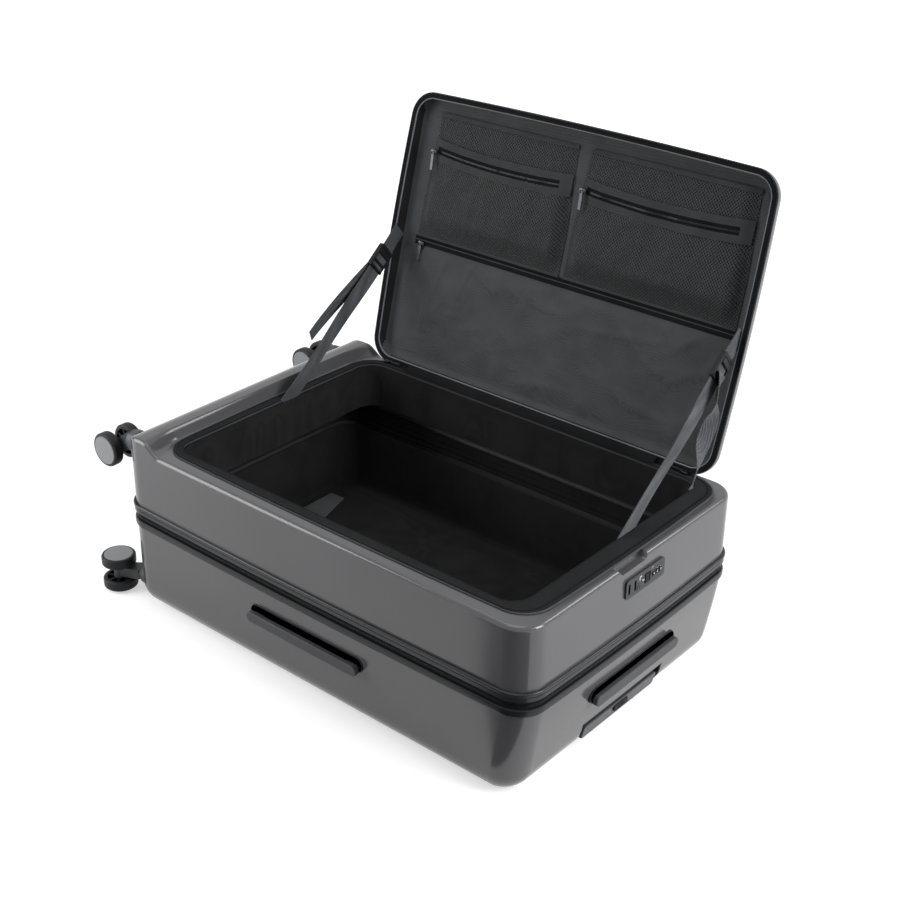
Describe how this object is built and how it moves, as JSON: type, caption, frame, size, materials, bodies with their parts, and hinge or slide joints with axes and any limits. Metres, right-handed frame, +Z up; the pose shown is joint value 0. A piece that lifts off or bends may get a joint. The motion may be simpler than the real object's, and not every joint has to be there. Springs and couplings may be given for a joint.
{
  "type": "hard shell suitcase",
  "caption": "Large hard shell suitcase lying on its back with its zipped lid open, with double casters, carry handles, pull-out trolley and lock.",
  "frame": {"origin": "middle of the flat back face that the case lies on", "axes": "+X from the wheel end to the handle end, +Y towards the lid hinge, +Z up through the thickness of the case"},
  "size_m": [0.7763, 0.5663, 0.6468],
  "materials": {
    "graphite_polycarbonate": "satin gloss graphite polycarbonate",
    "trim_plastic": "gloss grey extruded trim",
    "black_plastic": "fine satin black",
    "grey_plastic": "satin dark grey",
    "zip_tape": "woven black zip tape with a nylon coil",
    "lining_fabric": "smooth dark grey polyester lining",
    "mesh_fabric": "black polyester mesh",
    "webbing": "woven black webbing",
    "tube_aluminium": "anodised",
    "axle_steel": "turned steel",
    "wheel_tyre": "matt black polyurethane tyre with a grey cap",
    "zip_metal": "black lacquered zip slider"
  },
  "bodies": {
    "rear_case": {"rear_shell": "graphite_polycarbonate", "rear_trim": "trim_plastic", "rear_zip_tape": "zip_tape", "rear_lining": "lining_fabric", "expansion_gusset": "lining_fabric", "trolley_tube_near": "tube_aluminium", "trolley_tube_far": "tube_aluminium", "trolley_cup": "black_plastic", "trolley_foot": "black_plastic", "packing_straps": "webbing", "side_handle_housing": "black_plastic", "top_handle_housing": "black_plastic", "caster_housing_rear_near": "black_plastic", "caster_housing_rear_far": "black_plastic"},
    "side_handle": {"side_handle_grip": "grey_plastic"},
    "top_handle": {"top_handle_grip": "grey_plastic"},
    "trolley": {"trolley_rod_near": "tube_aluminium", "trolley_rod_far": "tube_aluminium", "trolley_grip": "grey_plastic"},
    "trolley_button": {"trolley_button": "black_plastic"},
    "front_case": {"front_shell": "graphite_polycarbonate", "front_trim": "trim_plastic", "front_zip_tape": "zip_tape", "front_lining": "lining_fabric", "opening_zip_tape": "zip_tape", "lock_body": "black_plastic", "caster_housing_front_near": "black_plastic", "caster_housing_front_far": "black_plastic"},
    "lock_slider": {"lock_slider": "black_plastic"},
    "lock_dial_1": {"lock_dial_1": "black_plastic"},
    "lock_dial_2": {"lock_dial_2": "black_plastic"},
    "lock_dial_3": {"lock_dial_3": "black_plastic"},
    "lid": {"lid_shell": "graphite_polycarbonate", "lid_lining": "lining_fabric", "mesh_pocket_left": "mesh_fabric", "mesh_pocket_right": "mesh_fabric", "hinge_strip": "lining_fabric", "stay_strap_left": "webbing", "stay_strap_right": "webbing", "stay_buckle_left": "black_plastic", "stay_buckle_right": "black_plastic"},
    "pocket_slider_left": {"pocket_slider_left": "zip_metal"},
    "pocket_slider_right": {"pocket_slider_right": "zip_metal"},
    "lining_slider": {"lining_slider": "zip_metal"},
    "caster_rear_near": {"caster_fork_rear_near": "black_plastic", "caster_axle_rear_near": "axle_steel"},
    "wheel_rear_near_a": {"caster_wheel_rear_near_a": "wheel_tyre"},
    "wheel_rear_near_b": {"caster_wheel_rear_near_b": "wheel_tyre"},
    "caster_rear_far": {"caster_fork_rear_far": "black_plastic", "caster_axle_rear_far": "axle_steel"},
    "wheel_rear_far_a": {"caster_wheel_rear_far_a": "wheel_tyre"},
    "wheel_rear_far_b": {"caster_wheel_rear_far_b": "wheel_tyre"},
    "caster_front_near": {"caster_fork_front_near": "black_plastic", "caster_axle_front_near": "axle_steel"},
    "wheel_front_near_a": {"caster_wheel_front_near_a": "wheel_tyre"},
    "wheel_front_near_b": {"caster_wheel_front_near_b": "wheel_tyre"},
    "caster_front_far": {"caster_fork_front_far": "black_plastic", "caster_axle_front_far": "axle_steel"},
    "wheel_front_far_a": {"caster_wheel_front_far_a": "wheel_tyre"},
    "wheel_front_far_b": {"caster_wheel_front_far_b": "wheel_tyre"}
  },
  "joints": [
    {"name": "expansion_slide", "type": "slide", "parent": "rear_case", "child": "front_case", "axis": [0, 0, 1], "range_m": [0, 0.045], "deforming": ["expansion_gusset"]},
    {"name": "lid_hinge", "type": "hinge", "parent": "front_case", "child": "lid", "pos_m": [0, 0.208, 0.2542], "axis": [1, 0, 0], "range_deg": [0, 105], "deforming": ["stay_strap_left", "stay_strap_right", "stay_buckle_left", "stay_buckle_right", "hinge_strip"]},
    {"name": "side_handle_pull", "type": "slide", "parent": "rear_case", "child": "side_handle", "axis": [0, -1, 0], "range_m": [0, 0.01], "stiffness_N_per_m": 300},
    {"name": "top_handle_pull", "type": "slide", "parent": "rear_case", "child": "top_handle", "axis": [1, 0, 0], "range_m": [0, 0.01], "stiffness_N_per_m": 300},
    {"name": "trolley_slide", "type": "slide", "parent": "rear_case", "child": "trolley", "axis": [1, 0, 0], "range_m": [0, 0.42]},
    {"name": "trolley_button_push", "type": "slide", "parent": "trolley", "child": "trolley_button", "axis": [-1, 0, 0], "range_m": [0, 0.0025], "stiffness_N_per_m": 400},
    {"name": "lock_slider_push", "type": "slide", "parent": "front_case", "child": "lock_slider", "axis": [0, 1, 0], "range_m": [0, 0.004]},
    {"name": "lock_dial_1_turn", "type": "hinge", "parent": "front_case", "child": "lock_dial_1", "pos_m": [0.347, 0.0225, 0.22], "axis": [0, 1, 0], "continuous": true},
    {"name": "lock_dial_2_turn", "type": "hinge", "parent": "front_case", "child": "lock_dial_2", "pos_m": [0.347, 0.0295, 0.22], "axis": [0, 1, 0], "continuous": true},
    {"name": "lock_dial_3_turn", "type": "hinge", "parent": "front_case", "child": "lock_dial_3", "pos_m": [0.347, 0.0365, 0.22], "axis": [0, 1, 0], "continuous": true},
    {"name": "pocket_zip_left", "type": "slide", "parent": "lid", "child": "pocket_slider_left", "axis": [1, 0, 0], "range_m": [0, 0.23]},
    {"name": "pocket_zip_right", "type": "slide", "parent": "lid", "child": "pocket_slider_right", "axis": [1, 0, 0], "range_m": [0, 0.25]},
    {"name": "lining_zip", "type": "slide", "parent": "lid", "child": "lining_slider", "axis": [1, 0, 0], "range_m": [0, 0.52]},
    {"name": "swivel_rear_near", "type": "hinge", "parent": "rear_case", "child": "caster_rear_near", "pos_m": [-0.353, -0.192, 0.028], "axis": [1, 0, 0], "continuous": true},
    {"name": "roll_rear_near_a", "type": "hinge", "parent": "caster_rear_near", "child": "wheel_rear_near_a", "pos_m": [-0.393, -0.212, 0.028], "axis": [0, 0, 1], "continuous": true},
    {"name": "roll_rear_near_b", "type": "hinge", "parent": "caster_rear_near", "child": "wheel_rear_near_b", "pos_m": [-0.393, -0.212, 0.028], "axis": [0, 0, 1], "continuous": true},
    {"name": "swivel_rear_far", "type": "hinge", "parent": "rear_case", "child": "caster_rear_far", "pos_m": [-0.353, 0.192, 0.028], "axis": [1, 0, 0], "continuous": true},
    {"name": "roll_rear_far_a", "type": "hinge", "parent": "caster_rear_far", "child": "wheel_rear_far_a", "pos_m": [-0.393, 0.212, 0.028], "axis": [0, 0, 1], "continuous": true},
    {"name": "roll_rear_far_b", "type": "hinge", "parent": "caster_rear_far", "child": "wheel_rear_far_b", "pos_m": [-0.393, 0.212, 0.028], "axis": [0, 0, 1], "continuous": true},
    {"name": "swivel_front_near", "type": "hinge", "parent": "front_case", "child": "caster_front_near", "pos_m": [-0.353, -0.192, 0.2421], "axis": [1, 0, 0], "continuous": true},
    {"name": "roll_front_near_a", "type": "hinge", "parent": "caster_front_near", "child": "wheel_front_near_a", "pos_m": [-0.393, -0.192, 0.2221], "axis": [0, 1, 0], "continuous": true},
    {"name": "roll_front_near_b", "type": "hinge", "parent": "caster_front_near", "child": "wheel_front_near_b", "pos_m": [-0.393, -0.192, 0.2221], "axis": [0, 1, 0], "continuous": true},
    {"name": "swivel_front_far", "type": "hinge", "parent": "front_case", "child": "caster_front_far", "pos_m": [-0.353, 0.192, 0.2421], "axis": [1, 0, 0], "continuous": true},
    {"name": "roll_front_far_a", "type": "hinge", "parent": "caster_front_far", "child": "wheel_front_far_a", "pos_m": [-0.393, 0.192, 0.2221], "axis": [0, 1, 0], "continuous": true},
    {"name": "roll_front_far_b", "type": "hinge", "parent": "caster_front_far", "child": "wheel_front_far_b", "pos_m": [-0.393, 0.192, 0.2221], "axis": [0, 1, 0], "continuous": true}
  ]
}
